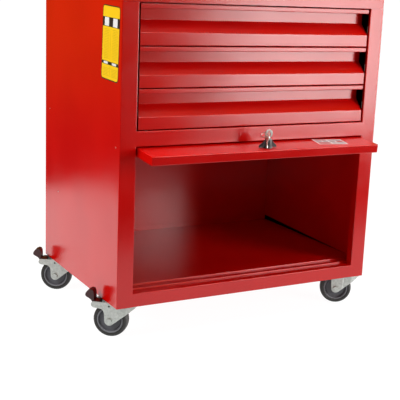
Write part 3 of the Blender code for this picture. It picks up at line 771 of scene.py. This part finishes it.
def key_shape(points, hole, hole_radius, bow, dish, half, axis):
    """A key blank with its hole, and a dished field on both faces of the bow."""
    blank = plate(points, axis, -half, half, radius=0.0, ease=0.25)
    spin = {"Y": Matrix.Rotation(math.pi / 2, 4, "X"), "X": Matrix.Rotation(math.pi / 2, 4, "Y")}[
        axis
    ]
    at_hole = Matrix.Translation(PLACE[axis](*hole, 0))
    tools = [moved(bar(hole_radius, -4 * half, 4 * half, "Z", ease=0.01, steps=28), at_hole @ spin)]
    at_bow = Matrix.Translation(PLACE[axis](*bow, 0))
    for turn in (0, math.pi):
        disc = bar(dish, half * 0.72, half * 2, "Z", ease=0.05, steps=36)
        tools.append(moved(disc, at_bow @ spin @ Matrix.Rotation(turn, 4, "X")))
    return cut(blank, *tools)


def build_keys(knob_height):
    bow, radius = (0, 32.2), 10.0
    points = key_outline(bow, radius, 4.0, knob_height - 7.7, bow[1] - radius * 0.9)
    hole = (0, bow[1] + radius - 5.0)
    key = key_shape(points, hole, 2.6, (0, bow[1] - 2.2), 5.6, 1.0, "Y")
    piece("door_key_blank", key, NICKEL, "lock", "door_key", matrix=LOCK, smooth=35)

    lean = math.radians(212)
    hang = 11.6
    middle = Vector((hang * math.cos(lean), 0, hole[1] + hang * math.sin(lean)))
    ring = moved(torus(10, 0.7), Matrix.Translation(middle) @ Matrix.Rotation(-lean, 4, "Y"))
    piece("key_ring_wire", ring, NICKEL, "lock", "key_ring", matrix=LOCK)

    at = LOCK @ Matrix.Translation(middle + Vector((0, -10, 0))) @ Matrix.Rotation(
        -DOOR_TILT, 4, "X"
    )
    bow, radius = (0, -4.4), 7.5
    teeth = [
        (-14, 0.2), (-15.5, 1.5), (-17, 0.5), (-18.8, 1.9), (-20.6, 0.8), (-22.4, 1.7), (-24, 0.4)
    ]
    points = key_outline(bow, radius, 3.2, -29, -12.2, teeth)
    spare = key_shape(points, (0, 0), 2.0, (0, -6.2), 3.9, 0.9, "X")
    piece("spare_key_blank", spare, NICKEL, "spare_key", "spare_key", matrix=at, smooth=35)


# ---------------------------------------------------------------- casters

AXLE = (13.0, -43.2)  # behind and below the swivel
FORK_HALF = 19.7
NOSE = 45.0
TAIL = 36.0  # centre of the round tails, behind the axle
SLANT = 39  # degrees, of the fork's leading lower edge


def fork_side(brake):
    """Side view of the fork, (y, z), counter-clockwise from the top of its nose."""
    top = -0.4
    end = circle_points(AXLE, 11, 270 - SLANT, 360, 14)
    rise = (end[0][0] + NOSE + 1) * math.tan(math.radians(SLANT))
    points = [(-NOSE - 1, top), (-NOSE - 1, end[0][1] + rise)] + end
    if brake:
        points += circle_points((AXLE[0] + 25, -28), 13, 180, 110, 6)
        points += circle_points((AXLE[0] + TAIL, top - 7.2), 7.2, -90, 90, 10)
    else:
        points += [(AXLE[0] + 12, AXLE[1] + 12), (AXLE[0] + 12, top)]
    return points


def fork_plan(brake):
    """The fork's outer line from above: two side plates, a sharp crease, and a nose that closes
    in.
    """
    tail = AXLE[0] + (TAIL + 9.2 if brake else 14)
    left = [(-FORK_HALF, tail), (-FORK_HALF, -4.0), (-18.3, -6.2), (-17.1, -25), (-8, -NOSE)]
    return left + [(-x, y) for x, y in left[::-1]]


def build_caster(name, brake):
    turn = joints[f"swivel_{name}_turn"]
    spin = joints[f"wheel_{name}_spin"]
    body = f"swivel_{name}"
    place = (Vector(turn["pos_m"]) - ORIGIN) * 1000
    angle = math.atan2(spin["axis"][1], spin["axis"][0])
    swivel = CABINET @ Matrix.Translation((place.x, place.y, 0)) @ Matrix.Rotation(angle, 4, "Z")

    low, high = cad(f"caster_plate_{name}")
    corners = [(low.x, low.y), (high.x, low.y), (high.x, high.y), (low.x, high.y)]
    mount = plate(corners, "Z", low.z, high.z, radius=5, ease=0.5)
    bolts = [
        hexagon(8, low.z - 4.5, low.z - 0.02, "Z", (x, y, 0), turn=0.3)
        for x in (low.x + 6, high.x - 6) for y in (low.y + 7, high.y - 7)
    ]
    piece(
        f"caster_plate_{name}_steel", joined(mount, *bolts), ZINC, "cabinet", f"caster_plate_{name}"
    )

    plan = fork_plan(brake)
    skirt = sheet_part(plan, "Z", AXLE[1] - 22, -0.4, radius=2.3, sheet=2.2, ease=0)
    side = plate(fork_side(brake), "X", -40, 40, radius=0.0, ease=0)
    fork = cut(skirt, side, operation="INTERSECT")
    holes = [bar(4.1, -30, 30, "X", (0, *AXLE), ease=0.01)]
    if brake:
        holes.append(bar(2.3, -30, -10, "X", (0, AXLE[0] + 0.8, -9), ease=0.01, steps=20))
    fork = bevelled(cut(fork, *holes), 0.45)
    crown_points = [(x * 0.95, min(y, AXLE[0] + 12) + (1.0 if y < -20 else 0)) for x, y in plan]
    crown = plate(crown_points, "Z", -2.6, -0.6, radius=2, ease=0.4)
    cup = [
        (0, -2), (17, -2), (19.3, -0.5), (20, 1.5), (20, 12), (19.2, 15), (16.5, 20), (15, 21.7),
        (0, 21.7),
    ]
    rivet = [(0, -6), (3.5, -5.8), (5.2, -4.6), (5.8, -2.5), (0, -2.5)]
    fork = joined(
        fork, crown, lathe(cup, 40, "Z", closed=False), lathe(rivet, 24, "Z", closed=False)
    )
    piece(
        f"caster_fork_{name}_steel", fork, ZINC, body, f"caster_fork_{name}", matrix=swivel,
        smooth=32
    )

    reach = FORK_HALF + GAP
    bolt = joined(
        bar(4.0, -reach - 2, reach + 2, "X", (0, *AXLE)),
        hexagon(12.5, -reach - 4.5, -reach, "X", (0, *AXLE), turn=0.4, ease=0.9),
        hexagon(12.5, reach, reach + 4.5, "X", (0, *AXLE), turn=0.1, ease=0.9),
    )
    piece(
        f"axle_bolt_{name}_steel", bolt, ZINC, body, f"axle_bolt_{name}", matrix=swivel, smooth=32
    )
    build_wheel(name, swivel @ Matrix.Translation((0, *AXLE)))
    if brake:
        build_pedal(name, swivel)


def build_wheel(name, matrix):
    """Grey hub with a dished web and a raised rim, and its rubber tyre."""
    body = f"wheel_{name}"
    half = [
        (4.15, 17.1), (8.2, 17.1), (8.8, 16.6), (9.4, 9.5), (10.2, 8.6), (12, 8.2), (22.5, 8.0),
        (24.3, 8.4),
        (25.8, 10.2), (26.7, 12.0), (27.3, 13.2), (27.9, 13.6), (29.7, 13.6), (30.4, 13.2),
        (30.5, 12.6),
    ]
    profile = half + [(r, -h) for r, h in half[::-1]]
    hub = lathe(profile, 72, "X")
    for face in hub.faces:
        if min(math.hypot(v.co.y, v.co.z) for v in face.verts) > 26.4:
            face.material_index = 1
    piece(
        f"wheel_hub_{name}_moulding", hub, HUB_GREY, body, f"wheel_hub_{name}", matrix=matrix,
        extra=(HUB_RIM,)
    )
    half = [
        (30.65, 12.4), (31.1, 13.0), (31.7, 13.6), (32.7, 13.95), (34.4, 14.0), (36.0, 13.6),
        (37.5, 12.6),
        (38.7, 11.1), (39.4, 9.2), (39.8, 6.4), (39.95, 3.0),
    ]
    profile = half + [(39.98, 0.0)] + [(r, -h) for r, h in half[::-1]]
    tyre = lathe(profile, 96, "X")
    piece(f"tyre_{name}_rubber", tyre, RUBBER, body, f"tyre_{name}", matrix=matrix)


def build_pedal(name, swivel):
    """Hooked tread with cross ribs on a barrel between the fork's tails.
    """
    body = f"brake_{name}"
    at = swivel @ Matrix.Translation((0, AXLE[0] + TAIL - 5, -7))
    outline = [
        (-5.5, -3), (9, -2), (15, 6.5), (21, 10.5), (27, 13.5), (29.5, 17), (27.5, 23), (23, 28.5),
        (17, 31.5),
        (11, 30.5), (8.3, 24), (7.5, 6), (-5.5, 5.5),
    ]
    tread = plate(outline, "X", -11, 11, radius=[1, 3, 3, 6, 2, 2.5, 6, 6, 4, 3, 4, 2, 1], ease=1.0)
    grooves = [
        bar(1.0, -12, 12, "X", (0, y, z), ease=0.05, steps=12)
        for y, z in ((29.6, 18.3), (28.0, 23.2), (24.6, 27.6), (20.2, 30.6), (15.6, 31.9))
    ]
    grooves += [
        bar(0.9, -12, 12, "X", (0, 17.5 + 3.6 * k, 7.9 + 2.0 * k), ease=0.05, steps=12)
        for k in range(3)
    ]
    tread = cut(tread, *grooves)
    barrel = bar(4.0, -17.2, 17.2, "X", ease=0.5)
    piece(
        f"brake_pedal_{name}_moulding", joined(tread, barrel), PEDAL, body, f"brake_pedal_{name}",
        matrix=at,
        smooth=35,
    )


# ---------------------------------------------------------------- labels and small fasteners


def build_label():
    """A plain yellow label with a black edge, two bands with blank boxes and a column line.

    It says nothing.
    """
    x = -0.02
    film = 0.1
    layers = []

    def patch(y0, z0, y1, z1, level, index, radius=0.5):
        points = [(y0, z0), (y1, z0), (y1, z1), (y0, z1)]
        shape = plate(points, "X", x - film * (level + 1), x + 0.05, radius, ease=0.02)
        for face in shape.faces:
            face.material_index = index
        layers.append(shape)

    y0, y1, z0, z1 = 12.0, 104.0, 497.0, 655.0
    edge, middle = 2.2, (y0 + y1) / 2
    patch(y0, z0, y1, z1, 0, 1, 9)
    patch(y0 + edge, z0 + edge, y1 - edge, z1 - edge, 1, 0, 7)
    for low, high in ((530, 537), (610, 630)):
        patch(y0 + edge, low, y1 - edge, high, 2, 1, 0.2)
        for start in (24, 69):
            patch(start, low + 1.1, start + 23, high - 1.1, 3, 2, 0.8)
    for low, high in ((z0 + 8, 528), (539, 608)):
        patch(middle - 0.4, low, middle + 0.4, high, 2, 3, 0.1)
    rows = [z0 + 9 + 3.1 * k for k in range(6)] + [543 + 3.4 * k for k in range(19)]
    for k, z in enumerate(rows):
        for start in (y0 + 7, middle + 4):
            patch(start + 3 * ((k * 7) % 5) * 0.5, z, start + 31 - (k * 5) % 4, z + 0.7, 2, 3, 0.1)
    whole = bmesh.new()
    for shape in layers:
        mesh = bpy.data.meshes.new("part")
        shape.to_mesh(mesh)
        shape.free()
        whole.from_mesh(mesh)
    centre = Matrix.Translation((0, middle, (z0 + z1) / 2))
    crooked = CABINET @ centre @ Matrix.Rotation(math.radians(2.3), 4, "X") @ centre.inverted()
    piece("side_label", whole, YELLOW, "cabinet", matrix=crooked, extra=(INK, PAPER, SOFT_INK))


def build_rivets():
    """Small bright rivet heads where the inner frame is fixed to the sides and the shelf to the
    back.
    """
    dome = [(0, 0.5), (0.9, 0.45), (1.4, 0.25), (1.7, -0.2), (0, -0.2)]
    spots = [(20, 359), (437.6, 388.4), (374.4, 188.1)]
    shapes = []
    for y, z in spots:
        left = moved(lathe(dome, 20, "Z", closed=False), Matrix.Rotation(-math.pi / 2, 4, "Y"))
        shapes.append(moved(left, Matrix.Translation((0, y, z))))
        right = moved(lathe(dome, 20, "Z", closed=False), Matrix.Rotation(math.pi / 2, 4, "Y"))
        shapes.append(moved(right, Matrix.Translation((WIDTH, y, z))))
    for x in (185, 495):
        back = moved(lathe(dome, 20, "Z", closed=False), Matrix.Rotation(math.pi / 2, 4, "X"))
        shapes.append(moved(back, Matrix.Translation((x, BACK - 0.05, FLOOR_TOP + 5))))
    piece("frame_rivets", joined(*shapes), NICKEL, "cabinet")


# ---------------------------------------------------------------- camera, floor and light


LENS, SENSOR = 83.37, 36  # millimetres
CAMERA_PLACE = Vector((-0.78202, -1.77671, 0.698555))  # metres from the cabinet's own origin
AZIMUTH, PITCH, ROLL = (math.radians(angle) for angle in (28.91, 12.91, 2.287))
FLOOR_LEFT, FLOOR_RIGHT, FLOOR_FRONT, FLOOR_REAR = -0.98, 1.7, -0.9, 1.4  # metres
FLOOR_GLOW, FLOOR_GLOW_ON_PIECES = 0.965, 0.45


def build_camera():
    forward = Vector((
        math.cos(PITCH) * math.sin(AZIMUTH), math.cos(PITCH) * math.cos(AZIMUTH), -math.sin(PITCH)
    ))
    right = Vector((math.cos(AZIMUTH), -math.sin(AZIMUTH), 0))
    up = right.cross(forward)
    right, up = (
        right * math.cos(ROLL) + up * math.sin(ROLL),
        up * math.cos(ROLL) - right * math.sin(ROLL),
    )
    data = bpy.data.cameras.new("camera")
    data.lens, data.sensor_width = LENS, SENSOR
    data.clip_end = 50
    camera = bpy.data.objects.new("camera", data)
    SCENE.collection.objects.link(camera)
    turn = Matrix((right, up, -forward)).transposed().to_4x4()
    camera.matrix_world = Matrix.Translation(ORIGIN + CAMERA_PLACE) @ turn
    SCENE.camera = camera


def build_floor():
    shape = bmesh.new()
    corners = [
        (FLOOR_LEFT, FLOOR_FRONT), (FLOOR_RIGHT, FLOOR_FRONT),
        (FLOOR_RIGHT, FLOOR_REAR), (FLOOR_LEFT, FLOOR_REAR),
    ]
    shape.faces.new([shape.verts.new((x, y, 0)) for x, y in corners])
    mesh = bpy.data.meshes.new("floor")
    shape.to_mesh(mesh)
    shape.free()
    material = bpy.data.materials.new("floor_paper")
    material.use_nodes = True
    tree = material.node_tree
    shader = tree.nodes["Principled BSDF"]
    shader.inputs["Base Color"].default_value = (0.12, 0.12, 0.12, 1)
    shader.inputs["Roughness"].default_value = 0.9
    shader.inputs["Specular IOR Level"].default_value = 0.0
    shader.inputs["Emission Color"].default_value = (1, 1, 1, 1)
    path = tree.nodes.new("ShaderNodeLightPath")
    lit = ramp(tree, path.outputs["Is Diffuse Ray"], 0, 1, FLOOR_GLOW, FLOOR_GLOW_ON_PIECES)
    tree.links.new(lit, shader.inputs["Emission Strength"])
    mesh.materials.append(material)
    floor = bpy.data.objects.new("floor", mesh)
    SCENE.collection.objects.link(floor)


def area_light(name, location, target, size, power, glossy=True):
    data = bpy.data.lights.new(name, "AREA")
    data.shape = "RECTANGLE"
    data.size, data.size_y = size
    data.energy = power
    lamp = bpy.data.objects.new(name, data)
    SCENE.collection.objects.link(lamp)
    lamp.location = location
    lamp.rotation_euler = (Vector(target) - Vector(location)).to_track_quat("-Z", "Y").to_euler()
    lamp.visible_glossy = glossy
    return lamp


def build_light():
    world = bpy.data.worlds.new("studio")
    world.use_nodes = True
    SCENE.world = world
    tree = world.node_tree
    tree.nodes.clear()
    path = tree.nodes.new("ShaderNodeLightPath")
    soft = place_node(tree, "ShaderNodeBackground", Color=(1, 1, 1, 1), Strength=0.18)
    height = place_node(
        tree, "ShaderNodeSeparateXYZ",
        Vector=tree.nodes.new("ShaderNodeTexCoord").outputs["Generated"]
    )
    warm = blend_colours(
        tree, ramp(tree, height.outputs[2], -0.15, -0.07, 0, 1), (0.02, 0.02, 0.02, 1),
        (0.24, 0.11, 0.01, 1)
    )
    dark = place_node(tree, "ShaderNodeBackground", Color=warm, Strength=1.0)
    white = place_node(tree, "ShaderNodeBackground", Color=(1, 1, 1, 1), Strength=1.05)
    inner = place_node(
        tree, "ShaderNodeMixShader", _0=path.outputs["Is Glossy Ray"], _1=soft.outputs[0],
        _2=dark.outputs[0]
    )
    outer = place_node(
        tree, "ShaderNodeMixShader", _0=path.outputs["Is Camera Ray"], _1=inner.outputs[0],
        _2=white.outputs[0]
    )
    tree.links.new(outer.outputs[0], tree.nodes.new("ShaderNodeOutputWorld").inputs[0])
    area_light("key_left", (-2.7, 0.1, 2.1), (0, 0, 0.5), (1.8, 1.8), 92, glossy=False)
    area_light("top", (0.4, -0.2, 3.0), (0.1, 0, 0.4), (2.4, 2.0), 62, glossy=False)
    area_light("box_front_right", (1.45, -1.98, 0.80), (0.2, 0, 0.45), (0.9, 1.3), 33)
    for name, place, size, power in (
        ("glint_front", (0.3, -2.4, 2.2), (2.2, 0.5), 60),
        ("glint_right", (2.3, -0.9, 0.7), (0.5, 1.4), 45),
    ):
        area_light(name, place, (0, -0.1, 0.4), size, power).visible_diffuse = False
    SCENE.view_settings.view_transform = "Standard"
    SCENE.view_settings.look = "None"


build_sides()
build_rails()
build_inside()
build_cap()
build_drawers()
build_tracks()
build_door()
build_sticker()
build_lock()
for caster in ("front_left", "rear_left", "front_right", "rear_right"):
    build_caster(caster, brake=caster.endswith("left"))
build_label()
build_rivets()
build_camera()
build_floor()
build_light()
